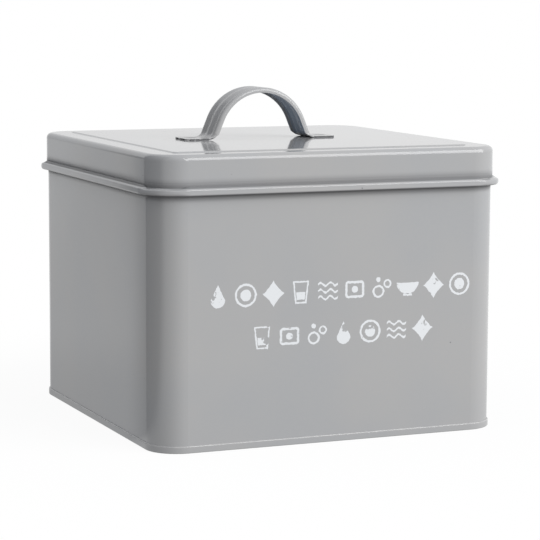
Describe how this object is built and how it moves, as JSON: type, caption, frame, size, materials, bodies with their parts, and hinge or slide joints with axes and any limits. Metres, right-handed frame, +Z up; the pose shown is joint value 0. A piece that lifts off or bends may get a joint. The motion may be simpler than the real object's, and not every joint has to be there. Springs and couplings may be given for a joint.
{
  "type": "dishwasher tablet storage tin",
  "caption": "Square tinplate kitchen storage tin with rounded corners, a lift-off lid with a rolled edge and an arched strap handle.",
  "frame": {"origin": "middle of the footprint, on the surface the tin stands on", "axes": "+Z up; +X to the right across the front; the front faces -Y"},
  "size_m": [0.2086, 0.2086, 0.1851],
  "materials": {
    "grey_enamel": "semi-gloss paint on tinplate"
  },
  "bodies": {
    "tin": {"body_wall": "grey_enamel", "base_pan": "grey_enamel"},
    "lid": {"lid": "grey_enamel", "handle": "grey_enamel"}
  },
  "joints": [
    {"name": "lid_lift", "type": "slide", "parent": "tin", "child": "lid", "axis": [0, 0, 1], "range_m": [0, 0.2]}
  ]
}
